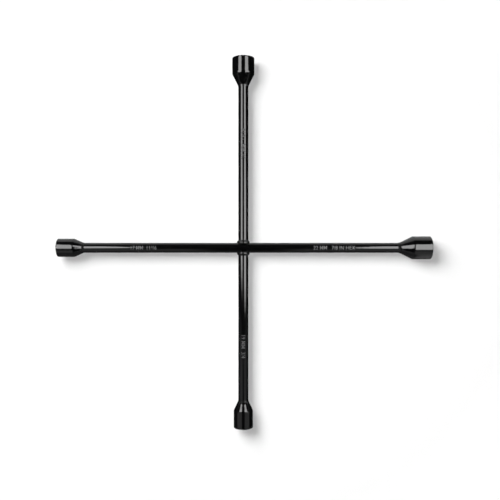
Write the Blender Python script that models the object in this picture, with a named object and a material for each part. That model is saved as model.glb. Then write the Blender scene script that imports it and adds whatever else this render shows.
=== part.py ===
"""Four-way lug wrench: crossed steel bars that carry a hexagon socket at each of their four ends.

The wrench lies flat, with +Z up, the cross bar along X and the upper bar along +Y. The origin is
under the middle of the wrench, in the plane that its largest socket rests on. Lengths are in metres
and angles in degrees until they are used.

How it goes together: the cross bar is one piece, and an upper and a lower bar are butted against
its sides and held by a thick weld bead each, which laps over the cross bar's flank. The outer end of
every bar is a pilot that sits in the back of its socket, and a weld ring fills the groove between
the socket's neck and the bar.
"""

import math

import bmesh
import bpy

# Bars
BAR_DIAMETER = 0.0135
PILOT_SHOULDER = 0.00045      # step from the bottom of the weld groove down to the pilot
PILOT_LENGTH = 0.008
PILOT_CHAMFER = 0.0006

# Weld grooves and beads
GROOVE_DEPTH = 0.0018         # depth of the groove below the bar's surface
NECK_LIP = 0.0006             # how far the socket's neck stands proud of the bar
BEAD_ROOT = 0.0006            # height of the bead's foot above the bottom of its groove
BEAD_CROWN = 0.0005           # bulge of the bead above the edges of its groove

# Joints in the middle, where the upper and lower bars are welded to the cross bar
JOINT_CHAMFER = 0.001         # bevel on the butted end
JOINT_BEAD_RISE = 0.0016      # height of the bead's crest above the bar
JOINT_BEAD_RADIUS = 0.003     # roundness of the bead's section
JOINT_BEAD_TOE = 0.0002       # thickness of the bead's thin end, on the bar
JOINT_BEAD_CREST = 0.00145    # how far beyond the cross bar's side the crest lies
JOINT_BEAD_LAP = 0.00075      # how far the bead laps back over the cross bar's side

# Details that every socket shares
HEXAGON_CLEARANCE = 0.0002    # across the flats, over the nut's own size
RIM_ROUND = 0.0007
LEAD_IN = 0.0003              # how far the mouth's chamfer runs past the hexagon's corners
BARREL_BLEND_RADIUS = 0.004   # rounding between the barrel and the taper
FLOOR_LEDGE = 0.0006          # flat ledge left round the drilled floor
DRILL_POINT_ANGLE = 118.0

# Gap between neighbouring pieces
CLEARANCE = 0.0003

# Sockets: size of nut, wall outside the hexagon's corners, length of the round barrel, half angle
# of the taper, depth of the hexagon, reach from the crossing to the mouth, and heading of the arm.
SOCKETS = {
    "17mm": {
        "across_flats": 0.017,
        "wall": 0.00255,
        "barrel": 0.0225,
        "taper": 24.4,
        "depth": 0.018,
        "reach": 0.2528,
        "heading": 180.0,
    },
    "19mm": {
        "across_flats": 0.019,
        "wall": 0.00195,
        "barrel": 0.0236,
        "taper": 25.2,
        "depth": 0.018,
        "reach": 0.2451,
        "heading": 270.0,
    },
    "21mm": {
        "across_flats": 0.021,
        "wall": 0.0028,
        "barrel": 0.0221,
        "taper": 26.8,
        "depth": 0.018,
        "reach": 0.2589,
        "heading": 90.0,
    },
    "22mm": {
        "across_flats": 0.022,
        "wall": 0.00275,
        "barrel": 0.0246,
        "taper": 25.7,
        "depth": 0.020,
        "reach": 0.2552,
        "heading": 0.0,
    },
}
CROSS_BAR_ENDS = ("17mm", "22mm")
LOWER_BAR_END = "19mm"
UPPER_BAR_END = "21mm"

# Facets
ROUND_STEPS = 36
EDGE_STEPS = 2
BEAD_STEPS = 6
SMOOTH_ANGLE = 30.0

# Finish: colour, roughness and metallic value
BAR_ENAMEL = ((0.012, 0.012, 0.013, 1.0), 0.22, 0.0)
SOCKET_ENAMEL = ((0.010, 0.010, 0.011, 1.0), 0.20, 0.0)
WELD_ENAMEL = ((0.016, 0.016, 0.017, 1.0), 0.30, 0.0)

BAR_RADIUS = BAR_DIAMETER / 2
ROOT_RADIUS = BAR_RADIUS - GROOVE_DEPTH
PILOT_RADIUS = ROOT_RADIUS - PILOT_SHOULDER
NECK_RADIUS = BAR_RADIUS + NECK_LIP
JOINT_BORE_RADIUS = BAR_RADIUS + CLEARANCE
SLANTED_CLEARANCE = CLEARANCE * math.sqrt(2)     # the gap measured along X at a 45 degree flank


def clear_scene():
    """Remove whatever the opened file holds."""
    for thing in list(bpy.data.objects):
        bpy.data.objects.remove(thing, do_unlink=True)


def arc(centre, radius, start, end, steps):
    """Points on an arc of an outline, from one angle to the other, in degrees."""
    points = []
    for step in range(steps + 1):
        angle = math.radians(start + (end - start) * step / steps)
        points.append((centre[0] + radius * math.cos(angle), centre[1] + radius * math.sin(angle)))
    return points


def corner_radius(socket):
    """Radius of the circle through the hexagon's corners."""
    return (socket["across_flats"] + HEXAGON_CLEARANCE) / 2 / math.cos(math.radians(30))


def barrel_radius(socket):
    return corner_radius(socket) + socket["wall"]


def socket_stations(socket):
    """Places along the arm, from the crossing outwards, where the socket changes shape."""
    shoulder = socket["reach"] - socket["barrel"]
    taper = (barrel_radius(socket) - NECK_RADIUS) / math.tan(math.radians(socket["taper"]))
    neck = shoulder - taper
    back = neck - (NECK_RADIUS - ROOT_RADIUS)
    seat = back - CLEARANCE
    pilot_end = seat + PILOT_LENGTH
    return {"shoulder": shoulder, "neck": neck, "back": back, "seat": seat, "pilot_end": pilot_end}


def bar_end_outline(socket):
    """The end of a bar: weld groove, shoulder and pilot, from the bar's surface to its axis."""
    stations = socket_stations(socket)
    seat = stations["seat"]
    pilot_end = stations["pilot_end"]
    return [
        (seat - GROOVE_DEPTH, BAR_RADIUS),
        (seat, ROOT_RADIUS),
        (seat, PILOT_RADIUS),
        (pilot_end - PILOT_CHAMFER, PILOT_RADIUS),
        (pilot_end, PILOT_RADIUS - PILOT_CHAMFER),
        (pilot_end, 0.0),
    ]


def cross_bar_outline():
    """Outline of the cross bar, from the axis at its left end to the axis at its right end."""
    left, right = (bar_end_outline(SOCKETS[size]) for size in CROSS_BAR_ENDS)
    return [(-along, radius) for along, radius in reversed(left)] + right


def half_bar_outline(socket):
    """Outline of the upper or lower bar, from its butted end to its pilot."""
    butt = BAR_RADIUS + CLEARANCE
    bevel = [(butt, 0.0), (butt, BAR_RADIUS - JOINT_CHAMFER), (butt + JOINT_CHAMFER, BAR_RADIUS)]
    return bevel + bar_end_outline(socket)


def joint_bead_outline():
    """Closed section of the weld bead round the butted end of a bar."""
    centre = (BAR_RADIUS + JOINT_BEAD_CREST, BAR_RADIUS + JOINT_BEAD_RISE - JOINT_BEAD_RADIUS)
    lap = BAR_RADIUS - JOINT_BEAD_LAP
    toe_angle = math.degrees(math.asin((JOINT_BORE_RADIUS + JOINT_BEAD_TOE - centre[1]) / JOINT_BEAD_RADIUS))
    lap_angle = math.degrees(math.acos((lap - centre[0]) / JOINT_BEAD_RADIUS))
    face = arc(centre, JOINT_BEAD_RADIUS, lap_angle, toe_angle, BEAD_STEPS)
    return [(lap, JOINT_BORE_RADIUS)] + face + [(face[-1][0], JOINT_BORE_RADIUS)]


def socket_bead_outline(socket):
    """Closed section of the weld that fills the groove between a socket's neck and its bar."""
    stations = socket_stations(socket)
    foot_radius = ROOT_RADIUS + BEAD_ROOT
    bar_flank = stations["seat"] + SLANTED_CLEARANCE
    neck_flank = stations["back"] - SLANTED_CLEARANCE
    bar_edge = (bar_flank - GROOVE_DEPTH, BAR_RADIUS)
    neck_edge = (neck_flank + NECK_RADIUS - ROOT_RADIUS, NECK_RADIUS)
    third = ((2 * bar_edge[0] + neck_edge[0]) / 3, (2 * BAR_RADIUS + NECK_RADIUS) / 3 + BEAD_CROWN)
    two_thirds = ((bar_edge[0] + 2 * neck_edge[0]) / 3, (BAR_RADIUS + 2 * NECK_RADIUS) / 3 + BEAD_CROWN)
    feet = [(bar_flank - BEAD_ROOT, foot_radius), (neck_flank + BEAD_ROOT, foot_radius)]
    return [feet[0], bar_edge, third, two_thirds, neck_edge, feet[1]]


def socket_outline(socket):
    """Outside of a socket, from the bottom of its pilot bore round to the middle of its mouth."""
    stations = socket_stations(socket)
    radius = barrel_radius(socket)
    mouth = socket["reach"]
    slope = socket["taper"]
    bore_end = stations["pilot_end"] + CLEARANCE
    bore_radius = PILOT_RADIUS + CLEARANCE
    blend_start = stations["shoulder"] + BARREL_BLEND_RADIUS * math.tan(math.radians(slope / 2))
    blend_centre = (blend_start, radius - BARREL_BLEND_RADIUS)
    rim_centre = (mouth - RIM_ROUND, radius - RIM_ROUND)
    return (
        [(bore_end, 0.0), (bore_end, bore_radius), (stations["back"], bore_radius)]
        + [(stations["back"], ROOT_RADIUS), (stations["neck"], NECK_RADIUS)]
        + arc(blend_centre, BARREL_BLEND_RADIUS, 90.0 + slope, 90.0, EDGE_STEPS)
        + arc(rim_centre, RIM_ROUND, 90.0, 0.0, EDGE_STEPS)
        + [(mouth, 0.0)]
    )


def mouth_outline(socket):
    """Cutter for the chamfered mouth and the drilled floor of a socket."""
    mouth = socket["reach"]
    drill_radius = (socket["across_flats"] + HEXAGON_CLEARANCE) / 2 - FLOOR_LEDGE
    chamfer_radius = corner_radius(socket) + LEAD_IN
    floor = mouth - socket["depth"]
    tip = floor - drill_radius / math.tan(math.radians(DRILL_POINT_ANGLE / 2))
    chamfer_start = mouth - (chamfer_radius - drill_radius)
    outside = mouth + socket["wall"]
    flare = chamfer_radius + socket["wall"]
    return [(tip, 0.0), (floor, drill_radius), (chamfer_start, drill_radius), (outside, flare), (outside, 0.0)]


def turned_mesh(name, outline, closed_section=False):
    """Turn an outline of (along X, radius) points round the X axis into a closed mesh.

    An open outline starts and ends on the axis. A closed section makes a ring.
    """
    form = bmesh.new()
    points = [form.verts.new((along, 0.0, radius)) for along, radius in outline]
    pairs = list(zip(points, points[1:]))
    if closed_section:
        pairs.append((points[-1], points[0]))
    edges = [form.edges.new(pair) for pair in pairs]
    bmesh.ops.spin(
        form,
        geom=points + edges,
        cent=(0.0, 0.0, 0.0),
        axis=(1.0, 0.0, 0.0),
        angle=2 * math.pi,
        steps=ROUND_STEPS,
        use_merge=True,
    )
    bmesh.ops.remove_doubles(form, verts=form.verts, dist=1e-7)
    bmesh.ops.recalc_face_normals(form, faces=form.faces)
    mesh = bpy.data.meshes.new(name)
    form.to_mesh(mesh)
    form.free()
    mesh.shade_smooth()
    mesh.set_sharp_from_angle(angle=math.radians(SMOOTH_ANGLE))
    return mesh


def hexagon_mesh(name, socket):
    """Hexagonal prism that cuts the socket's bore, with a flat facing up."""
    form = bmesh.new()
    radius = corner_radius(socket)
    start = socket["reach"] - socket["depth"]
    length = socket["depth"] + socket["wall"]
    corners = []
    for corner in range(6):
        angle = math.radians(60 * corner)
        corners.append(form.verts.new((start, radius * math.cos(angle), radius * math.sin(angle))))
    floor = form.faces.new(corners)
    raised = bmesh.ops.extrude_face_region(form, geom=[floor])
    moved = [item for item in raised["geom"] if isinstance(item, bmesh.types.BMVert)]
    bmesh.ops.translate(form, verts=moved, vec=(length, 0.0, 0.0))
    bmesh.ops.recalc_face_normals(form, faces=form.faces)
    mesh = bpy.data.meshes.new(name)
    form.to_mesh(mesh)
    form.free()
    return mesh


def enamel(name, finish):
    """Baked enamel with the given colour, roughness and metallic value."""
    colour, roughness, metallic = finish
    material = bpy.data.materials.new(name)
    material.use_nodes = True
    shader = material.node_tree.nodes["Principled BSDF"]
    shader.inputs["Base Color"].default_value = colour
    shader.inputs["Roughness"].default_value = roughness
    shader.inputs["Metallic"].default_value = metallic
    return material


def place(name, mesh, crossing, heading, finish=None):
    """Put a mesh into the scene on the crossing, turned to its arm's heading."""
    piece = bpy.data.objects.new(name, mesh)
    bpy.context.scene.collection.objects.link(piece)
    piece.parent = crossing
    piece.rotation_euler.z = math.radians(heading)
    if finish is not None:
        mesh.materials.append(enamel(name + "_enamel", finish))
    return piece


def cut(piece, cutter):
    """Cut one shape out of a piece and keep the cutter as a wire guide."""
    cutter.hide_render = True
    cutter.display_type = "WIRE"
    modifier = piece.modifiers.new(cutter.name, "BOOLEAN")
    modifier.operation = "DIFFERENCE"
    modifier.solver = "EXACT"
    modifier.object = cutter


def make_crossing():
    """Empty at the crossing of the bars, which the wrench's box and largest socket put in place."""
    reach = {size: socket["reach"] for size, socket in SOCKETS.items()}
    left, right = CROSS_BAR_ENDS
    crossing = bpy.data.objects.new("crossing", None)
    bpy.context.scene.collection.objects.link(crossing)
    crossing.location.x = (reach[left] - reach[right]) / 2
    crossing.location.y = (reach[LOWER_BAR_END] - reach[UPPER_BAR_END]) / 2
    crossing.location.z = max(barrel_radius(socket) for socket in SOCKETS.values())
    return crossing


def make_cross_bar(crossing):
    place("cross_bar", turned_mesh("cross_bar", cross_bar_outline()), crossing, 0.0, BAR_ENAMEL)


def make_half_bar(side, size, crossing):
    """The upper or lower bar, and the weld bead that joins it to the cross bar."""
    socket = SOCKETS[size]
    heading = socket["heading"]
    name = side + "_bar"
    place(name, turned_mesh(name, half_bar_outline(socket)), crossing, heading, BAR_ENAMEL)
    weld = "centre_weld_" + side
    bead = turned_mesh(weld, joint_bead_outline(), closed_section=True)
    saddle = weld + "_saddle"
    reach = 2 * BAR_DIAMETER
    section = [(-reach, 0.0), (-reach, JOINT_BORE_RADIUS), (reach, JOINT_BORE_RADIUS), (reach, 0.0)]
    body = place(weld, bead, crossing, heading, WELD_ENAMEL)
    cut(body, place(saddle, turned_mesh(saddle, section), crossing, 0.0))


def make_socket(size, crossing):
    """A socket with its hexagon bore, and the weld ring that holds it on its bar."""
    socket = SOCKETS[size]
    heading = socket["heading"]
    name = "socket_" + size
    body = place(name, turned_mesh(name, socket_outline(socket)), crossing, heading, SOCKET_ENAMEL)
    mouth = name + "_mouth"
    cut(body, place(mouth, turned_mesh(mouth, mouth_outline(socket)), crossing, heading))
    hexagon = name + "_hexagon"
    cut(body, place(hexagon, hexagon_mesh(hexagon, socket), crossing, heading))
    weld = "weld_" + size
    bead = turned_mesh(weld, socket_bead_outline(socket), closed_section=True)
    place(weld, bead, crossing, heading, WELD_ENAMEL)


def make_wrench():
    clear_scene()
    crossing = make_crossing()
    make_cross_bar(crossing)
    make_half_bar("upper", UPPER_BAR_END, crossing)
    make_half_bar("lower", LOWER_BAR_END, crossing)
    for size in SOCKETS:
        make_socket(size, crossing)


make_wrench()
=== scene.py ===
import math

import bmesh
import bpy
import numpy as np
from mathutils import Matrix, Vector
from mathutils.bvhtree import BVHTree


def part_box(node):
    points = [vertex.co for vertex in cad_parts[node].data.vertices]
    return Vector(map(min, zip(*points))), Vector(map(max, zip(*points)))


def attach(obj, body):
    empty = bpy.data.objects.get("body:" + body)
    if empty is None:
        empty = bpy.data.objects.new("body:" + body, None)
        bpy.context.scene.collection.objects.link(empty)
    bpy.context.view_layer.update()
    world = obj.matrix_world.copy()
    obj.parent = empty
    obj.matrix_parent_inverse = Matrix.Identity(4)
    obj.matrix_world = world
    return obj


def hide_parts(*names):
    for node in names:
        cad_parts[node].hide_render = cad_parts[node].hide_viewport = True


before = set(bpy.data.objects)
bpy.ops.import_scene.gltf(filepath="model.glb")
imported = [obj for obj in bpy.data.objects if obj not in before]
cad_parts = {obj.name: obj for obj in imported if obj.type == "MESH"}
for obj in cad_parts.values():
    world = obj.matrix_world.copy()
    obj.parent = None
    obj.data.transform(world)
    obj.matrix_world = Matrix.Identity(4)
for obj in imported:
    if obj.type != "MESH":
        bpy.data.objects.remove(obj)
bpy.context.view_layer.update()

MM = 0.001

# Sockets by the name of their CAD node: heading of the arm, nut size, length of the round barrel,
# half angle of the taper, depth of the hexagon and hollow radius of the neck weld.
SOCKETS = {
    "17mm": dict(heading=180, flats=17 * MM, barrel=22.5 * MM, taper=24.4, depth=18 * MM, hollow=9 * MM),
    "19mm": dict(heading=270, flats=19 * MM, barrel=23.6 * MM, taper=25.2, depth=18 * MM, hollow=5 * MM),
    "21mm": dict(heading=90, flats=21 * MM, barrel=22.1 * MM, taper=26.8, depth=18 * MM, hollow=6 * MM),
    "22mm": dict(heading=0, flats=22 * MM, barrel=24.6 * MM, taper=25.7, depth=20 * MM, hollow=12 * MM),
}
# Stamped sizes: the words, the distance of their middle from the crossing and their length along the bar
STAMPS = {
    "17mm": dict(words="17 MM  11/16", middle=135 * MM, length=35 * MM),
    "19mm": dict(words="19 MM  3/4", middle=134 * MM, length=31 * MM),
    "21mm": dict(words="21 MM  13/16", middle=141 * MM, length=41 * MM),
    "22mm": dict(words="22 MM   7/8 IN HEX", middle=123.5 * MM, length=57 * MM),
}
HALF_BARS = {"upper": "21mm", "lower": "19mm"}

# Shapes shared by the sockets
HEXAGON_CLEARANCE = 0.2 * MM
HEXAGON_CORNER = 0.8 * MM
LEAD_IN = 0.3 * MM
LEAD_IN_ROUND = 0.25 * MM
RIM_ROUND = 1.1 * MM
BARREL_BLEND = 5.0 * MM
FLOOR_LEDGE = 0.6 * MM
FLOOR_CORNER = 0.15 * MM
DRILL_SLOPE = math.tan(math.radians(59))
NECK_LIP = 0.6 * MM

# Welds
NECK_WELD_PROUD = 0.06 * MM     # bulge of the ring in the middle of its hollow
RING_DEPTH = 1.6 * MM           # how far a weld ring reaches under the surfaces it joins
BEAD_RISE = 1.8 * MM            # crest of the centre welds above the bars
BEAD_CREST = 0.60 * MM          # how far beyond the cross bar's side the crest lies
BEAD_ROUND = 3.0 * MM
BEAD_TURN = math.radians(135)   # how far the bead's round turns over towards the cross bar
BEAD_FALL = 0.4                 # its straight fall from there, outwards per unit of height
BEAD_TOE = 1.2 * MM             # hollow where the bead runs out on the bar
SADDLE_DEPTH = 0.1 * MM         # how far a bead's root sinks into the cross bar

# Bars
PILOT_LENGTH = 8.0 * MM         # thin end of a bar, inside its socket
BUTT_CHAMFER = 1.0 * MM         # round the butted end of a half bar
BUTT_DEPTH = 0.05 * MM          # how far a butted end sinks into the cross bar's side
HOLD = 0.2 * MM                 # short stretch of full width next to a change of width

# Letters of the stamped sizes
STAMP_HEIGHT = 5.6 * MM
CAPITAL_HEIGHT = 0.72           # height of the font's capitals, per unit of its size
STAMP_DEPTH = 0.22 * MM
STAMP_HALF_STROKE = 0.42 * MM   # distance from a letter's edge to its full depth
STAMP_BOLDNESS = 0.10 * MM
STAMP_STEP = 0.15 * MM          # spacing of the mesh's rows along the letters
STAMP_MARGIN = 1.0 * MM

# Ripples of the welds: number round the ring and height
NECK_RIPPLES = 34
NECK_RIPPLE = 0.05 * MM
BEAD_RIPPLES = 26
BEAD_RIPPLE = 0.09 * MM
RIPPLE_WANDER = 1.6             # how unevenly they are spaced
RIPPLE_LEAN = 0.8               # how far they curve forward in the middle of the weld's face
RIPPLE_DRIFT = 260.0            # scale of the noise that makes them uneven
NECK_SEED = 7
BEAD_SEED = 3

HAIR = 0.0001 * MM              # keeps turned surfaces just inside the CAD box
COLUMNS = 240                   # round the sockets and welds
RIM_UNWORN = 2                  # rows of the rounded rim, next to the barrel, that don't chip
BAR_COLUMNS = 72                # round the bars, apart from their stamped stretch
STAMP_COLUMNS = 64

# Colours of the finishes
BLACK = (0, 0, 0, 1)
WHITE = (1, 1, 1, 1)
ENAMEL_BLACKS = ((0.0012, 0.0012, 0.0014, 1), (0.0026, 0.0025, 0.0027, 1))
WELD_BLACKS = ((0.0014, 0.0014, 0.0016, 1), (0.0040, 0.0038, 0.0038, 1))
DUST_GREY = (0.035, 0.035, 0.037, 1)
RUBBED_GREY = (0.014, 0.014, 0.015, 1)
# painted highlight: pale grey for the stamped letters, standing in for the light their walls catch
STAMP_HIGHLIGHT_GREY = (0.115, 0.115, 0.118, 1)
BORE_BROWN = (0.018, 0.017, 0.016, 1)
CHIPPED_STEEL = (0.10, 0.095, 0.09, 1)
SPATTER_GREY = (0.010, 0.010, 0.010, 1)
ENAMEL_IOR = 1.5

# ---------------------------------------------------------------- places, from the frame


def middle_of(node):
    """Middle of a CAD node's box."""
    low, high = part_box(node)
    return (low + high) / 2


cross_low, cross_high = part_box("cross_bar")
CROSSING = Vector((middle_of("upper_bar").x, middle_of("cross_bar").y, middle_of("cross_bar").z))
BAR_RADIUS = (cross_high.z - cross_low.z) / 2
NECK_RADIUS = BAR_RADIUS + NECK_LIP


def arm_axes(heading):
    """Unit vectors of an arm: outwards, sideways and up."""
    angle = math.radians(heading)
    out = Vector((math.cos(angle), math.sin(angle), 0))
    side = Vector((-math.sin(angle), math.cos(angle), 0))
    return out, side, Vector((0, 0, 1))


def along(point, size):
    """Distance of a point from the crossing, measured out along an arm."""
    out = arm_axes(SOCKETS[size]["heading"])[0]
    return (point - CROSSING).dot(out)


def socket_places(size):
    """Radius and stations of a socket, outwards from the crossing."""
    socket = SOCKETS[size]
    low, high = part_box("socket_" + size)
    radius = (high.z - low.z) / 2 - HAIR
    mouth = max(along(low, size), along(high, size)) - HAIR
    shoulder = mouth - socket["barrel"]
    slope = math.radians(socket["taper"])
    neck = shoulder - (radius - NECK_RADIUS) / math.tan(slope)
    corner = neck - NECK_LIP / math.tan(slope)
    return dict(radius=radius, mouth=mouth, shoulder=shoulder, slope=slope, neck=neck, corner=corner)


# ---------------------------------------------------------------- mesh making


def grid_mesh(name, points, closed_rows=False):
    """Mesh of a grid of points, rows x columns x 3, that closes round its columns.

    Closed rows join the last row to the first; otherwise the first and last rows are capped.
    """
    rows, columns = points.shape[:2]
    index = np.arange(rows * columns).reshape(rows, columns)
    upper = np.roll(index, -1, axis=0) if closed_rows else index[1:]
    lower = index if closed_rows else index[:-1]
    quads = np.stack([lower, np.roll(lower, -1, 1), np.roll(upper, -1, 1), upper], axis=-1)
    faces = quads.reshape(-1, 4).tolist()
    if not closed_rows:
        faces += [index[0, ::-1].tolist(), index[-1].tolist()]
    mesh = bpy.data.meshes.new(name)
    mesh.from_pydata(points.reshape(-1, 3).tolist(), [], faces)
    mesh.validate()
    return mesh


def mark_points(mesh, name, values):
    """Keep a number for each point of a mesh, for its finish or its ripples."""
    attribute = mesh.attributes.new(name, "FLOAT", "POINT")
    attribute.data.foreach_set("value", np.asarray(values, np.float32).ravel())


def finish_mesh(mesh, sharp=38.0):
    """Weld the poles, point the faces outwards and shade smooth up to an angle."""
    form = bmesh.new()
    form.from_mesh(mesh)
    bmesh.ops.remove_doubles(form, verts=form.verts, dist=1e-6)
    bmesh.ops.recalc_face_normals(form, faces=form.faces)
    form.to_mesh(mesh)
    form.free()
    mesh.shade_smooth()
    mesh.set_sharp_from_angle(angle=math.radians(sharp))
    return mesh


def ring_points(heading, stations, radii, angles):
    """Points on rings round an arm's axis: stations, radii and angles broadcast to rows x columns."""
    out, side, up = (np.array(axis) for axis in arm_axes(heading))
    stations, radii, angles = np.broadcast_arrays(stations, radii, angles)
    centre = np.array(CROSSING) + stations[..., None] * out
    across = np.cos(angles)[..., None] * side + np.sin(angles)[..., None] * up
    return centre + radii[..., None] * across


def round_corner(before, corner, after, radius, steps=6):
    """Points of an arc that rounds a corner of an outline."""
    before, corner, after = (np.array(point, float) for point in (before, corner, after))
    back = (before - corner) / np.linalg.norm(before - corner)
    ahead = (after - corner) / np.linalg.norm(after - corner)
    half = math.acos(np.clip(back @ ahead, -1, 1)) / 2
    reach = radius / math.tan(half)
    centre = corner + (back + ahead) / np.linalg.norm(back + ahead) * radius / math.sin(half)
    start = corner + back * reach - centre
    end = corner + ahead * reach - centre
    turn = math.atan2(start[0] * end[1] - start[1] * end[0], start @ end)
    points = []
    for step in range(steps + 1):
        angle = turn * step / steps
        cos, sin = math.cos(angle), math.sin(angle)
        points.append(tuple(centre + (cos * start[0] - sin * start[1], sin * start[0] + cos * start[1])))
    return points


def between(start, end, shares):
    """Points of a straight run, at these shares of its length."""
    start, end = np.array(start), np.array(end)
    return [tuple(start + (end - start) * share) for share in shares]


def round_points(centre, radius, angles):
    """Points of an arc, at these angles round its centre."""
    return [centre + radius * np.array((math.cos(angle), math.sin(angle))) for angle in angles]


def add_piece(mesh, node):
    """Make the object of a finished piece, ride it on the tool and let it stand for its CAD node."""
    piece = bpy.data.objects.new(mesh.name, mesh)
    bpy.context.scene.collection.objects.link(piece)
    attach(piece, "root")
    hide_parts(node)
    return piece


# ---------------------------------------------------------------- node trees


class Field:
    """A number that varies over a surface. Sums on it add Math nodes to its tree."""

    def __init__(self, finish, socket):
        self.finish = finish
        self.socket = socket

    def sum(self, operation, first, second):
        """Result of a Math node."""
        return self.finish.node("ShaderNodeMath", dict(operation=operation), {0: first, 1: second})

    def __add__(self, other):
        return self.sum("ADD", self, other)

    def __sub__(self, other):
        return self.sum("SUBTRACT", self, other)

    def __mul__(self, other):
        return self.sum("MULTIPLY", self, other)

    def __rsub__(self, other):
        return self.sum("SUBTRACT", other, self)

    __radd__ = __add__
    __rmul__ = __mul__


class Nodes:
    """A node tree in the making."""

    def __init__(self, tree):
        self.tree = tree

    def connect(self, socket, value):
        """Link a field to a socket, or set the socket to a plain value."""
        if isinstance(value, Field):
            self.tree.links.new(value.socket, socket)
        else:
            socket.default_value = value

    def node(self, kind, settings=None, sockets=None, output=0):
        """Add a node: its settings first, then the values or links of its sockets."""
        made = self.tree.nodes.new(kind)
        for key, value in (settings or {}).items():
            setattr(made, key, value)
        for key, value in (sockets or {}).items():
            self.connect(made.inputs[key], value)
        return Field(self, made.outputs[output])

    def places(self):
        """Place on the object, in metres."""
        return self.node("ShaderNodeTexCoord", output="Object")

    def split(self, vector):
        """The x, y and z of a vector as fields."""
        first = self.node("ShaderNodeSeparateXYZ", {}, {0: vector})
        outputs = first.socket.node.outputs
        return [Field(self, outputs[axis]) for axis in range(3)]

    def noise(self, size, detail=3.0, roughness=0.5, seed=0.0):
        """Noise from 0 to 1 with features of the given size in metres."""
        sockets = {"Scale": 1 / size, "Detail": detail, "Roughness": roughness, "W": seed}
        sockets["Vector"] = self.places()
        return self.node("ShaderNodeTexNoise", dict(noise_dimensions="4D"), sockets)

    def named_number(self, name):
        """A number kept on the points, in a geometry tree."""
        return self.node("GeometryNodeInputNamedAttribute", dict(data_type="FLOAT"), {"Name": name})

    def attribute(self, name):
        """A number kept on the points, in a material."""
        return self.node("ShaderNodeAttribute", dict(attribute_name=name), output="Fac")

    def blend_colours(self, share, first, second):
        """Mix two colours by a share from 0 to 1."""
        sockets = {"Factor": share, 6: first, 7: second}
        return self.node("ShaderNodeMix", dict(data_type="RGBA"), sockets, output=2)

    def bump(self, height, distance, below=None):
        """Raise the surface by a height from 0 to 1 times a distance, on top of the bumps below."""
        sockets = {"Strength": 1.0, "Distance": distance, "Height": height}
        if below is not None:
            sockets["Normal"] = below
        return self.node("ShaderNodeBump", {}, sockets)


class Finish(Nodes):
    """A material in the making."""

    def __init__(self, name):
        self.material = bpy.data.materials.new(name)
        self.material.use_nodes = True
        super().__init__(self.material.node_tree)
        self.shader = self.tree.nodes["Principled BSDF"]

    def set(self, **values):
        """Set or link inputs of the shader, with underscores for the spaces in their names."""
        for key, value in values.items():
            self.connect(self.shader.inputs[key.replace("_", " ")], value)


def limit(field, low, high):
    """Map a field from low..high to 0..1 and hold it there."""
    settings = dict(clamp=True)
    sockets = {"Value": field, "From Min": low, "From Max": high}
    return field.finish.node("ShaderNodeMapRange", settings, sockets)


# ---------------------------------------------------------------- sockets


def hexagon_radius(apothem, angles):
    """Distance to a hexagon with rounded corners, a corner at angle 0."""
    from_corner = np.abs((angles + math.pi / 6) % (math.pi / 3) - math.pi / 6)
    flat = apothem / np.cos(math.pi / 6 - from_corner)
    middle = (apothem - HEXAGON_CORNER) / math.cos(math.pi / 6)
    inside = np.maximum(HEXAGON_CORNER ** 2 - (middle * np.sin(from_corner)) ** 2, 0)
    rounded = middle * np.cos(from_corner) + np.sqrt(inside)
    tangent = (apothem - HEXAGON_CORNER) * math.tan(math.pi / 6)
    rounding_ends = math.pi / 6 - math.atan2(tangent, apothem)
    return np.where(from_corner < rounding_ends, rounded, flat)


def socket_outline(size, chamfer_radius):
    """Outline of a socket from its root in the neck to the lead-in of its mouth, in parts."""
    place = socket_places(size)
    back = place["neck"] - (NECK_RADIUS - BAR_RADIUS / 2)
    neck = (place["neck"], NECK_RADIUS)
    shoulder = (place["shoulder"], place["radius"])
    rim = (place["mouth"], place["radius"])
    chamfer = (place["mouth"], chamfer_radius)
    inwards = (place["mouth"] - 1, chamfer_radius - 1)
    root = [(back, 0.0), (back, BAR_RADIUS / 2), neck]
    blend = round_corner(neck, shoulder, rim, BARREL_BLEND)
    rim_round = round_corner(shoulder, rim, chamfer, RIM_ROUND, 8)
    lead_in = round_corner(rim, chamfer, inwards, LEAD_IN_ROUND, 4)
    taper = between(neck, blend[0], (0.25, 0.5, 0.75))
    barrel = between(blend[-1], rim_round[0], np.linspace(0.1, 0.9, 9))
    return root + taper + blend + barrel, rim_round, lead_in


def bore_rows(size, first, apothem, hexagon, chamfer_radius):
    """Rows of a bore from the lead-in's last point inwards: chamfer, hexagon, ledge and drilled floor."""
    mouth = socket_places(size)["mouth"]
    crease = mouth - (chamfer_radius - hexagon)
    floor = mouth - SOCKETS[size]["depth"]
    drill = apothem - FLOOR_LEDGE
    rows = []
    for share in (0.35, 0.7, 0.92, 1.0):
        rows.append((first[0] + (crease - first[0]) * share, first[1] + (hexagon - first[1]) * share))
    for share in (0.03, 0.1, 0.35, 0.7, 0.97, 1.0):
        rows.append((crease + (floor - crease) * share, hexagon))
    rows.append((floor, hexagon - FLOOR_CORNER))
    rows.append((floor, drill))
    for share in (0.05, 0.5, 1.0):
        rows.append((floor - drill / DRILL_SLOPE * share, drill * (1 - share)))
    return rows


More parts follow.
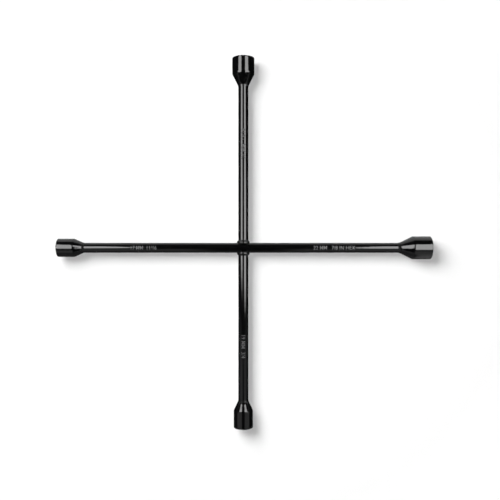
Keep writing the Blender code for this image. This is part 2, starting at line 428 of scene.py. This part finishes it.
def make_socket(size):
    """A forged socket: neck, taper, barrel, rounded rim, chamfered mouth, hexagon and drilled floor."""
    apothem = (SOCKETS[size]["flats"] + HEXAGON_CLEARANCE) / 2
    angles = np.arange(COLUMNS) * 2 * math.pi / COLUMNS
    hexagon = hexagon_radius(apothem, angles)
    chamfer_radius = apothem / math.cos(math.pi / 6) + LEAD_IN
    body, rim_round, lead_in = socket_outline(size, chamfer_radius)
    outline = body + rim_round + lead_in
    rows = outline + bore_rows(size, lead_in[-1], apothem, hexagon, chamfer_radius)
    stations = np.array([np.broadcast_to(station, COLUMNS) for station, radius in rows])
    radii = np.array([np.broadcast_to(radius, COLUMNS) for station, radius in rows])
    points = ring_points(SOCKETS[size]["heading"], stations, radii, angles)
    mesh = grid_mesh("forged_socket_" + size, points)
    bore = np.zeros(stations.shape)
    bore[len(outline):] = 1.0
    mark_points(mesh, "bore", bore)
    edge = np.zeros(stations.shape)
    edge[len(body) + RIM_UNWORN:len(outline) + 1] = 1.0
    mark_points(mesh, "edge", edge)
    return add_piece(finish_mesh(mesh), "socket_" + size)


# ---------------------------------------------------------------- bars and their stamped sizes


def stamp_outline(words, length):
    """Filled letters of a stamp in a plane, centred, stretched to their length, as a mesh."""
    text = bpy.data.curves.new("letters", "FONT")
    text.body = words
    text.align_x = "CENTER"
    text.align_y = "CENTER"
    text.size = STAMP_HEIGHT / CAPITAL_HEIGHT
    text.offset = STAMP_BOLDNESS
    text.resolution_u = 6
    letters = bpy.data.objects.new("letters", text)
    bpy.context.scene.collection.objects.link(letters)
    bpy.context.view_layer.update()
    evaluated = letters.evaluated_get(bpy.context.evaluated_depsgraph_get())
    mesh = bpy.data.meshes.new_from_object(evaluated)
    corners = np.array([vertex.co for vertex in mesh.vertices])
    low, high = corners.min(0), corners.max(0)
    middle = (low + high) / 2
    stretch = length / (high[0] - low[0])
    flat = np.stack([(corners[:, 0] - middle[0]) * stretch, corners[:, 1] - middle[1]], axis=1)
    faces = [tuple(face.vertices) for face in mesh.polygons]
    count = {}
    for face in faces:
        for one, two in zip(face, face[1:] + face[:1]):
            key = (min(one, two), max(one, two))
            count[key] = count.get(key, 0) + 1
    border = np.array([key for key, uses in count.items() if uses == 1])
    bpy.data.objects.remove(letters)
    bpy.data.curves.remove(text)
    bpy.data.meshes.remove(mesh)
    return flat, faces, border


def stamp_depth(words, length, across_places, along_places):
    """Depth of a stamped line of letters on a grid of places, along x across."""
    flat, faces, border = stamp_outline(words, length)
    solid = BVHTree.FromPolygons([(x, y, 0) for x, y in flat], faces)
    down = Vector((0, 0, -1))
    depth = np.zeros((len(along_places), len(across_places)))
    starts, ends = flat[border[:, 0]], flat[border[:, 1]]
    span = ends - starts
    size = np.maximum((span ** 2).sum(1), 1e-18)
    for row, station in enumerate(along_places):
        inside = [
            column
            for column, height in enumerate(across_places)
            if solid.ray_cast(Vector((station, height, 1)), down)[0] is not None
        ]
        for column in inside:
            point = np.array((station, across_places[column]))
            share = np.clip(((point - starts) * span).sum(1) / size, 0, 1)
            gap = np.linalg.norm(starts + span * share[:, None] - point, axis=1).min()
            fall = min(gap / STAMP_HALF_STROKE, 1)
            depth[row, column] = STAMP_DEPTH * fall * fall * (3 - 2 * fall)
    return depth


def bar_end(node, size):
    """Outline of a bar's end inside its socket."""
    low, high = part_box(node)
    end = max(along(low, size), along(high, size))
    step = end - PILOT_LENGTH
    pilot = BAR_RADIUS / 2
    return [(step - HOLD, BAR_RADIUS), (step, BAR_RADIUS), (step, pilot), (end, pilot)]


def make_bar(node, name, sizes, start=None):
    """A drawn bar with the sizes of its sockets stamped into its upper side.

    A bar with two sizes runs from socket to socket; a bar with one starts at a butted end.
    """
    front = sizes[-1]
    tail = bar_end(node, front)
    if start is None:
        head = [(-station, radius) for station, radius in reversed(bar_end(node, sizes[0]))]
    else:
        edge = start + BUTT_CHAMFER
        head = [(start, BAR_RADIUS - BUTT_CHAMFER), (edge, BAR_RADIUS), (edge + HOLD, BAR_RADIUS)]
    places = {}
    stations = list(head)
    for size in sizes:
        stamp = STAMPS[size]
        half = stamp["length"] / 2 + STAMP_MARGIN
        side = 1 if size == front else -1
        places[size] = np.linspace(-half, half, int(2 * half / STAMP_STEP)) + side * stamp["middle"]
        stations += [(station, BAR_RADIUS) for station in places[size]]
    stations = np.array(stations + tail)
    reach = (STAMP_HEIGHT / 2 + STAMP_MARGIN / 2) / BAR_RADIUS
    fine = math.pi / 2 + np.linspace(reach, -reach, STAMP_COLUMNS)
    coarse = np.linspace(math.pi / 2 - reach, math.pi / 2 + reach - 2 * math.pi, BAR_COLUMNS)[1:-1]
    angles = np.concatenate([fine, coarse])
    radii = np.repeat(stations[:, 1][:, None], len(angles), axis=1)
    across = (math.pi / 2 - fine) * BAR_RADIUS
    stamped = np.zeros(radii.shape)
    for size, where in places.items():
        stamp = STAMPS[size]
        first = int(np.argmin(np.abs(stations[:, 0] - where[0])))
        middle = (where[0] + where[-1]) / 2
        depth = stamp_depth(stamp["words"], stamp["length"], across, where - middle)
        radii[first:first + len(where), :STAMP_COLUMNS] -= depth
        stamped[first:first + len(where), :STAMP_COLUMNS] = depth / STAMP_DEPTH
    points = ring_points(SOCKETS[front]["heading"], stations[:, 0][:, None], radii, angles[None, :])
    mesh = grid_mesh(name, points)
    mark_points(mesh, "stamped", stamped)
    return add_piece(finish_mesh(mesh, 40.0), node)


# ---------------------------------------------------------------- welds


def make_ripple_tree():
    """Geometry Nodes tree that raises hand-laid ripples round a weld ring."""
    tree = bpy.data.node_groups.new("weld_ripples", "GeometryNodeTree")
    inputs = {
        "Ring": "NodeSocketGeometry",
        "Ripples": "NodeSocketFloat",
        "Height": "NodeSocketFloat",
        "Wander": "NodeSocketFloat",
        "Seed": "NodeSocketFloat",
        "Enamel": "NodeSocketMaterial",
    }
    for name, kind in inputs.items():
        tree.interface.new_socket(name, in_out="INPUT", socket_type=kind)
    tree.interface.new_socket("Weld", in_out="OUTPUT", socket_type="NodeSocketGeometry")
    nodes = Nodes(tree)
    given = nodes.node("NodeGroupInput").socket.node.outputs
    ring, ripples, height, wander, seed, enamel = (Field(nodes, given[name]) for name in inputs)
    turn = nodes.named_number("turn")
    face = nodes.named_number("face")
    settings = dict(noise_dimensions="4D")
    drift = nodes.node("ShaderNodeTexNoise", settings, {"W": seed, "Scale": RIPPLE_DRIFT, "Detail": 2.0})
    phase = turn * ripples + (drift - 0.5) * wander + face * RIPPLE_LEAN
    wave = phase.sum("SINE", phase, 0.0)
    lift = (wave * 0.5 + 0.5) * (drift * 0.8 + 0.6) * face * height
    normal = nodes.node("GeometryNodeInputNormal")
    offset = nodes.node("ShaderNodeVectorMath", dict(operation="SCALE"), {"Vector": normal, "Scale": lift})
    raised = nodes.node("GeometryNodeSetPosition", {}, {"Geometry": ring, "Offset": offset})
    real = nodes.node("GeometryNodeRealizeInstances", {}, {"Geometry": raised})
    done = nodes.node("GeometryNodeSetMaterial", {}, {"Geometry": real, "Material": enamel})
    nodes.connect(tree.nodes.new("NodeGroupOutput").inputs["Weld"], done)
    return tree


def raise_ripples(mesh, tree, **values):
    """Run the ripple tree on a ring and return the plain mesh it makes."""
    blank = bpy.data.objects.new("blank_ring", mesh)
    bpy.context.scene.collection.objects.link(blank)
    modifier = blank.modifiers.new("ripples", "NODES")
    modifier.node_group = tree
    for item in tree.interface.items_tree:
        if item.in_out == "INPUT" and item.name in values:
            modifier[item.identifier] = values[item.name]
    bpy.context.view_layer.update()
    evaluated = blank.evaluated_get(bpy.context.evaluated_depsgraph_get())
    rippled = bpy.data.meshes.new_from_object(evaluated)
    blank.modifiers.remove(modifier)
    bpy.data.objects.remove(blank)
    rippled.set_sharp_from_angle(angle=math.radians(50))
    return rippled


def make_weld(name, points, face, node, ripples, height, seed):
    """A closed weld ring with ripples raised on its outer face, strongest in the middle of the face."""
    mesh = grid_mesh(name, points, closed_rows=True)
    rows, columns = points.shape[:2]
    turns = np.arange(columns) * 2 * math.pi / columns
    mark_points(mesh, "turn", np.broadcast_to(turns, (rows, columns)))
    mark_points(mesh, "face", np.broadcast_to(np.asarray(face)[:, None], (rows, columns)))
    finish_mesh(mesh, 50.0)
    values = dict(Ripples=float(ripples), Height=height, Wander=RIPPLE_WANDER, Seed=float(seed))
    rippled = raise_ripples(mesh, ripple_tree, Enamel=weld_finish, **values)
    rippled.name = name
    return add_piece(rippled, node)


def make_neck_weld(size, seed):
    """Concave weld between a socket's neck and its bar."""
    place = socket_places(size)
    corner = (place["corner"], BAR_RADIUS)
    bar_side = (place["corner"] - 1, BAR_RADIUS)
    taper_side = (place["corner"] + math.cos(place["slope"]), BAR_RADIUS + math.sin(place["slope"]))
    hollow = round_corner(bar_side, corner, taper_side, SOCKETS[size]["hollow"], 24)
    swell = np.sin(np.linspace(0, math.pi, len(hollow))) ** 2
    face = [(station, radius + NECK_WELD_PROUD * rise) for (station, radius), rise in zip(hollow, swell)]
    inner = BAR_RADIUS - RING_DEPTH
    outline = np.array([(face[0][0], inner)] + face + [(face[-1][0], inner)])
    angles = np.arange(COLUMNS) * 2 * math.pi / COLUMNS
    heading = SOCKETS[size]["heading"]
    points = ring_points(heading, outline[:, 0][:, None], outline[:, 1][:, None], angles[None, :])
    share = np.concatenate([[0], swell, [0]])
    return make_weld("neck_bead_" + size, points, share, "weld_" + size, NECK_RIPPLES, NECK_RIPPLE, seed)


def saddle(angles, radius):
    """How far out a point of a bead must lie to clear the cross bar's own surface."""
    height = radius * np.sin(angles)
    return np.sqrt(np.maximum((BAR_RADIUS - SADDLE_DEPTH) ** 2 - height ** 2, 0))


def make_centre_weld(side, size, seed):
    """Thick bead round the butted end of a bar, filling the notch down to the cross bar's shoulder."""
    centre = np.array((BAR_RADIUS + BEAD_CREST, BAR_RADIUS + BEAD_RISE - BEAD_ROUND))
    toe_radius = BAR_RADIUS + BEAD_TOE
    toe = centre[0] + math.sqrt((BEAD_ROUND + BEAD_TOE) ** 2 - (toe_radius - centre[1]) ** 2)
    lean = math.atan2(toe_radius - centre[1], toe - centre[0])
    face = round_points(centre, BEAD_ROUND, np.linspace(BEAD_TURN, lean, 28))
    hollow = np.linspace(math.pi + lean, 1.5 * math.pi, 10)[1:]
    face += round_points(np.array((toe, toe_radius)), BEAD_TOE, hollow)
    inner = BAR_RADIUS - RING_DEPTH
    drops = np.linspace(face[0][1] - inner, 0, 24, endpoint=False)
    fall = [face[0] - drop * np.array((BEAD_FALL, 1)) for drop in drops]
    section = np.array(fall + face + [(face[-1][0], inner)])
    angles = np.arange(COLUMNS) * 2 * math.pi / COLUMNS
    radii = np.repeat(section[:, 1][:, None], COLUMNS, axis=1)
    stations = np.maximum(section[:, 0][:, None], saddle(angles[None, :], radii))
    points = ring_points(SOCKETS[size]["heading"], stations, radii, angles[None, :])
    swell = np.sin(np.linspace(0, math.pi, len(face)))
    share = np.concatenate([np.zeros(len(fall)), swell, [0]])
    name = "centre_bead_" + side
    return make_weld(name, points, share, "centre_weld_" + side, BEAD_RIPPLES, BEAD_RIPPLE, seed)


# ---------------------------------------------------------------- finishes


def black_enamel(name, seed, colours=ENAMEL_BLACKS):
    """Glossy black enamel: cloudy gloss, orange peel, slow waves and grains of dust under the film.

    Returns the finish with its colour, roughness and bump fields, for what a piece adds to them.
    """
    finish = Finish(name)
    finish.set(IOR=ENAMEL_IOR)
    peel = finish.noise(1.7 * MM, 2.0, 0.4, seed)
    wave = finish.noise(11 * MM, 3.0, 0.5, seed + 1)
    dust = limit(finish.noise(0.45 * MM, 2.0, 0.6, seed + 2), 0.66, 0.76)
    haze = limit(finish.noise(9 * MM, 4.0, 0.6, seed + 3), 0.35, 0.75)
    colour = finish.blend_colours(haze, *colours)
    colour = finish.blend_colours(dust * 0.3, colour, DUST_GREY)
    rough = haze * 0.045 + dust * 0.10 + 0.055
    coarse = finish.bump(wave, 0.09 * MM)
    return finish, colour, rough, finish.bump(peel, 0.006 * MM, coarse)


def bar_enamel():
    """Enamel on a smooth drawn bar, thin and rougher in the stamped sizes and painted pale grey there as a
    painted highlight for the light the letters catch, with fine rub marks along it.
    """
    finish, colour, rough, normal = black_enamel("bar_enamel", 1.0)
    stamped = finish.attribute("stamped")
    thin_enamel_and_highlight = limit(stamped, 0.15, 0.75)
    rubbed = limit(finish.noise(2.5 * MM, 5.0, 0.7, 21.0), 0.63, 0.72)
    grit = finish.noise(0.35 * MM, 3.0, 0.6, 22.0)
    colour = finish.blend_colours(rubbed * 0.25, colour, RUBBED_GREY)
    # The stamped letters are painted pale grey, a painted highlight for the light they catch; the enamel
    # is also rougher there.
    finish.set(Base_Color=finish.blend_colours(thin_enamel_and_highlight * (grit * 0.5 + 0.55), colour, STAMP_HIGHLIGHT_GREY))
    finish.set(Roughness=rough + rubbed * 0.06 + thin_enamel_and_highlight * 0.40)
    finish.set(Normal=finish.bump(grit * thin_enamel_and_highlight, 0.03 * MM, normal))
    return finish.material


def socket_enamel():
    """Enamel over forged steel, thinner in the bore, chipped here and there along the rim."""
    finish, colour, rough, normal = black_enamel("socket_enamel", 5.0)
    bore = finish.attribute("bore")
    edge = finish.attribute("edge")
    forging = finish.noise(5 * MM, 4.0, 0.55, 23.0)
    worn = limit(finish.noise(1.1 * MM, 4.0, 0.65, 24.0), 0.56, 0.64) * edge
    streak = limit(finish.noise(2.2 * MM, 4.0, 0.7, 25.0), 0.45, 0.7) * bore
    colour = finish.blend_colours(bore * 0.6 + streak * 0.3, colour, BORE_BROWN)
    finish.set(Base_Color=finish.blend_colours(worn * 0.45, colour, CHIPPED_STEEL))
    finish.set(Roughness=rough + bore * 0.14 + streak * 0.12 + worn * 0.12, Metallic=worn * 0.4)
    finish.set(Normal=finish.bump(forging, 0.035 * MM, normal))
    return finish.material


def weld_enamel():
    """Enamel pooled over weld metal, with fine spatter under it."""
    finish, colour, rough, normal = black_enamel("weld_enamel", 10.0, WELD_BLACKS)
    grain = finish.noise(0.8 * MM, 3.0, 0.55, 26.0)
    spatter = limit(finish.noise(1.4 * MM, 2.0, 0.5, 27.0), 0.66, 0.72)
    finish.set(Base_Color=finish.blend_colours(spatter * 0.3, colour, SPATTER_GREY))
    finish.set(Roughness=rough + spatter * 0.05 + 0.17)
    coarse = finish.bump(grain, 0.015 * MM, normal)
    finish.set(Normal=finish.bump(spatter, 0.03 * MM, coarse))
    return finish.material


# ---------------------------------------------------------------- the tool

bar_finish = bar_enamel()
socket_finish = socket_enamel()
weld_finish = weld_enamel()

ripple_tree = make_ripple_tree()

bars = [make_bar("cross_bar", "drawn_cross_bar", ("17mm", "22mm"))]
for number, (side, size) in enumerate(HALF_BARS.items()):
    bars.append(make_bar(side + "_bar", "drawn_" + side + "_bar", (size,), BAR_RADIUS - BUTT_DEPTH))
    make_centre_weld(side, size, BEAD_SEED + number)
for bar in bars:
    bar.data.materials.append(bar_finish)
for number, size in enumerate(SOCKETS):
    make_socket(size).data.materials.append(socket_finish)
    make_neck_weld(size, NECK_SEED + number)

# ---------------------------------------------------------------- floor, light and camera

# Floor and backdrop
FLOOR_HALF = 12.0
FLOOR_ALBEDO = 0.8
FLOOR_FILL = 0.40               # light on the floor where the key light doesn't reach
FLOOR_KEY = 0.72                # what the key light adds
FLOOR_LIT = 0.38                # how far from the middle the key light lights the floor evenly
FLOOR_GLOWS = 1.0               # where the floor's own glow has made up for it
FLOOR_GLOW = 0.7                # strength of that glow
BACKDROP_REACH = 1.1            # per unit of the floor's half width
BACKDROP_FOOT = -0.2
BACKDROP_GLOW = 1.05

# Key light: its place and the place it faces, both from the crossing, and its width
KEY_PLACE = Vector((-0.50, 0.48, 0.845))
KEY_AIM = Vector((0.80, -0.80, 0))
KEY_WIDTH = 0.84

# Soft light panels: height above the bars, the side they stand on, their inner and outer edges, and
# their near and far edges, each as its place y at the middle and its slope going outwards
PANELS = {
    "near_left": dict(side=-1, height=0.8, span=(0.300, 1.30), near=(0.30, -1.2), far=(-0.25, 1.6)),
    "near_right": dict(side=1, height=0.8, span=(0.290, 1.65), near=(0.10, -1.2), far=(-0.155, 1.3)),
    "high_left": dict(side=-1, height=1.6, span=(0.58, 2.60), near=(0.45, 0), far=(0.86, 0.25)),
    "high_right": dict(side=1, height=1.6, span=(0.54, 2.60), near=(0.45, 0), far=(0.86, 0.25)),
}
PANEL_NEAREST = -0.45           # no panel comes nearer than this, per unit of its height
PANEL_CORNER = (1.25, -0.5)     # line that cuts off the far outer corner: y per unit of height, and slope
PANEL_SOFT = 0.025
PANEL_GLOW = 7.2

# Black flag low over the lower bar, with a faint glow on its near part that leaves the middle dark
FLAG_HEIGHT = 0.30
FLAG_HALF = 1.2
FLAG_NEAR = -0.75
FLAG_EDGE = -0.080              # far edge
FLAG_SLANT = 0.08               # of the far edge
FLAG_SOFT = 0.035
FLAG_MARGIN = 0.1               # of sheet beyond the far edge, for its slant and softness
FLAG_GLOW = 0.50
FLAG_GLOW_FADE = (0.14, 0.08)   # distances from the far edge between which the glow ends
FLAG_MIDDLE_FADE = (0.06, 0.12) # distances from the middle between which it begins

# Pale card low beside the largest socket: its ends along x, its place y, its foot and top, and its fade
CARD_ENDS = (0.45, 1.5)
CARD_PLACE = -0.8
CARD_HEIGHTS = (-0.5, 0.52)
CARD_FADE = (0.40, 0.52)
CARD_GLOW = 0.70

# Surroundings mirrored in the enamel, with the parts of a direction between which each fades
WALL_GLOW = 1.0                 # white wall beyond the upper bar
WALL_FADE = (0.35, 0.60)
WALL_TOP_FADE = (0.08, 0.22)
NEAR_GLOW = 0.14                # low down, below the lower bar
NEAR_FADE = (-0.60, -0.30)
NEAR_TOP_FADE = (0.40, 0.60)
DIM_GLOW = 0.015                # the rest of the studio

CAMERA_HEIGHT = 0.845
CAMERA_LENS = 44.58
CAMERA_SENSOR = 36.0
CAMERA_ASIDE = Vector((9.1 * MM, -3.0 * MM, 0))


def make_stage(name, corners, faces):
    """A plain surface of the studio, which isn't part of the tool."""
    mesh = bpy.data.meshes.new(name)
    mesh.from_pydata(corners, [], faces)
    thing = bpy.data.objects.new(name, mesh)
    bpy.context.scene.collection.objects.link(thing)
    return thing


def make_floor():
    """Pale floor, lit evenly to its edges by a glow of its own where the key light falls away."""
    half = FLOOR_HALF
    corners = [(-half, -half, 0), (half, -half, 0), (half, half, 0), (-half, half, 0)]
    floor = make_stage("pale_floor", corners, [(0, 1, 2, 3)])
    finish = Finish("pale_floor")
    cloudy = finish.noise(0.5, 2.0, 0.5, 12.0)
    shade = finish.blend_colours(cloudy, (FLOOR_ALBEDO,) * 3 + (1,), (FLOOR_ALBEDO * 1.01,) * 3 + (1,))
    x, y = finish.split(finish.places())[:2]
    away = limit(x * x + y * y, FLOOR_LIT ** 2, FLOOR_GLOWS ** 2)
    glow = finish.blend_colours(away, BLACK, WHITE)
    finish.set(Base_Color=shade, Emission_Color=glow, Emission_Strength=FLOOR_GLOW)
    finish.set(Roughness=1.0, Specular_IOR_Level=0.0)
    floor.data.materials.append(finish.material)
    floor.visible_glossy = False


def make_glow(thing, finish, strength, glow=1.0, cover=1.0):
    """Let a panel shine and cover by shares that may vary over it, and show it only in the enamel."""
    colour = finish.blend_colours(glow, BLACK, WHITE)
    finish.set(Base_Color=BLACK, Emission_Color=colour, Emission_Strength=strength, Alpha=cover)
    finish.set(Roughness=1.0, Specular_IOR_Level=0.0)
    thing.data.materials.append(finish.material)
    thing.visible_camera = False
    thing.visible_diffuse = False
    thing.visible_shadow = False


def make_level(name, height, xs, ys):
    """A level sheet above the bars, between two places along x and two along y from the crossing."""
    x0, x1 = sorted(xs)
    y0, y1 = (CROSSING.y + y for y in ys)
    z = CROSSING.z + height
    return make_stage(name, [(x0, y0, z), (x1, y0, z), (x1, y1, z), (x0, y1, z)], [(0, 1, 2, 3)])


def make_panel(name, side, height, span, near, far):
    """A soft light panel beside the camera, with slanting near and far edges."""
    margin = PANEL_SOFT
    inner, outer = span
    nearest = PANEL_NEAREST * height
    lowest = max(near[0] + near[1] * outer, nearest) - margin
    highest = min(far[0] + far[1] * outer, height) + margin
    xs = (side * (inner - margin), side * (outer + margin))
    panel = make_level("light_panel_" + name, height, xs, (lowest, highest))
    finish = Finish(panel.name)
    x, y = finish.split(finish.places())[:2]
    out = x * side
    up = y - CROSSING.y
    cut = PANEL_CORNER[0] * height
    cover = limit(out, inner - margin, inner + margin) * (1 - limit(out, outer - margin, outer + margin))
    cover = cover * limit(up - out * near[1], near[0] - margin, near[0] + margin)
    cover = cover * limit(up, nearest - margin, nearest + margin)
    cover = cover * (1 - limit(up - out * far[1], far[0] - margin, far[0] + margin))
    cover = cover * (1 - limit(up - out * PANEL_CORNER[1], cut - margin, cut + margin))
    make_glow(panel, finish, PANEL_GLOW, cover=cover)


def make_flag():
    """Black flag that shades the lower bar from the panels, with a faint glow on its near part."""
    ys = (FLAG_NEAR, FLAG_EDGE + FLAG_MARGIN)
    flag = make_level("black_flag", FLAG_HEIGHT, (-FLAG_HALF, FLAG_HALF), ys)
    finish = Finish(flag.name)
    x, y = finish.split(finish.places())[:2]
    edge = CROSSING.y + FLAG_EDGE
    cover = 1 - limit(y + x * FLAG_SLANT, edge - FLAG_SOFT, edge + FLAG_SOFT)
    starts, ends = (edge - distance for distance in FLAG_GLOW_FADE)
    dark, pale = (distance ** 2 for distance in FLAG_MIDDLE_FADE)
    glow = (1 - limit(y, starts, ends)) * limit(x * x, dark, pale)
    make_glow(flag, finish, FLAG_GLOW, glow, cover)


def make_card():
    """Pale card low beside the largest socket, out of the camera's sight."""
    left, right = CARD_ENDS
    foot, top = CARD_HEIGHTS
    corners = [(x, CARD_PLACE, z) for x, z in ((left, foot), (right, foot), (right, top), (left, top))]
    card = make_stage("pale_card", corners, [(0, 1, 2, 3)])
    finish = Finish(card.name)
    z = finish.split(finish.places())[2]
    make_glow(card, finish, CARD_GLOW, 1 - limit(z, *CARD_FADE))


def make_world():
    """What the enamel mirrors beside the panels: a white wall beyond the upper bar, else almost black."""
    world = bpy.data.worlds.new("studio")
    world.use_nodes = True
    world.cycles_visibility.diffuse = False
    bpy.context.scene.world = world
    nodes = Nodes(world.node_tree)
    y, z = nodes.split(nodes.node("ShaderNodeTexCoord", output="Generated"))[1:]
    wall = limit(y, *WALL_FADE) * (1 - limit(z, *WALL_TOP_FADE))
    near = (1 - limit(y, *NEAR_FADE)) * (1 - limit(z, *NEAR_TOP_FADE))
    strength = wall * (WALL_GLOW - DIM_GLOW) + near * NEAR_GLOW + DIM_GLOW
    background = world.node_tree.nodes["Background"]
    background.inputs["Color"].default_value = WHITE
    nodes.connect(background.inputs["Strength"], strength)


def hang_light(name, data, place, direction):
    """Hang a light that lights the floor but isn't seen in the enamel."""
    light = bpy.data.objects.new(name, data)
    light.location = place
    light.rotation_mode = "QUATERNION"
    light.rotation_quaternion = direction.to_track_quat("-Z", "Y")
    light.visible_glossy = False
    light.visible_camera = False
    bpy.context.scene.collection.objects.link(light)


def make_key():
    """Large round soft box near the camera, which doesn't fall off with distance.

    Its energy gives the floor at the crossing the same light wherever the box hangs and faces.
    """
    direction = (KEY_AIM - KEY_PLACE).normalized()
    inward = -KEY_PLACE.normalized()
    box = bpy.data.lights.new("key_light", "AREA")
    box.shape = "DISK"
    box.size = KEY_WIDTH
    box.energy = FLOOR_KEY * math.pi ** 2 / FLOOR_ALBEDO / -inward.z / inward.dot(direction)
    box.use_nodes = True
    nodes = Nodes(box.node_tree)
    even = nodes.node("ShaderNodeLightFalloff", {}, {"Strength": 1.0}, output="Constant")
    nodes.connect(box.node_tree.nodes["Emission"].inputs["Strength"], even)
    hang_light("key_light", box, CROSSING + KEY_PLACE, direction)


def make_fill():
    """Shadowless light that lifts the shadows on the floor."""
    fill = bpy.data.lights.new("fill_light", "SUN")
    fill.angle = math.radians(1)
    fill.use_shadow = False
    fill.energy = FLOOR_FILL * math.pi / FLOOR_ALBEDO
    hang_light("fill_light", fill, Vector((0, 0, 1)), Vector((0, 0, -1)))


def make_backdrop():
    """White surroundings beyond the floor, for low views."""
    far = FLOOR_HALF * BACKDROP_REACH
    ring = [(-far, -far), (far, -far), (far, far), (-far, far)]
    corners = [(x, y, z) for z in (BACKDROP_FOOT, far) for x, y in ring]
    walls = [(0, 1, 5, 4), (1, 2, 6, 5), (2, 3, 7, 6), (3, 0, 4, 7), (4, 5, 6, 7)]
    backdrop = make_stage("white_backdrop", corners, walls)
    finish = Finish("white_backdrop")
    cloudy = finish.noise(2.0, 2.0, 0.5, 13.0)
    make_glow(backdrop, finish, BACKDROP_GLOW, limit(cloudy, -4.0, 0.2))
    backdrop.visible_camera = True
    backdrop.visible_glossy = False


def make_lights():
    """The panels, flag, card, lights and surroundings of the studio."""
    for name, panel in PANELS.items():
        make_panel(name, **panel)
    make_flag()
    make_card()
    make_key()
    make_fill()
    make_world()
    make_backdrop()


def make_camera():
    """Camera straight above the crossing, a little aside."""
    camera_data = bpy.data.cameras.new("camera")
    camera_data.sensor_width = CAMERA_SENSOR
    camera_data.lens = CAMERA_LENS
    camera = bpy.data.objects.new("camera", camera_data)
    camera.location = CROSSING + CAMERA_ASIDE + Vector((0, 0, CAMERA_HEIGHT))
    bpy.context.scene.collection.objects.link(camera)
    bpy.context.scene.camera = camera


make_floor()
make_lights()
make_camera()
bpy.context.scene.view_settings.view_transform = "Standard"
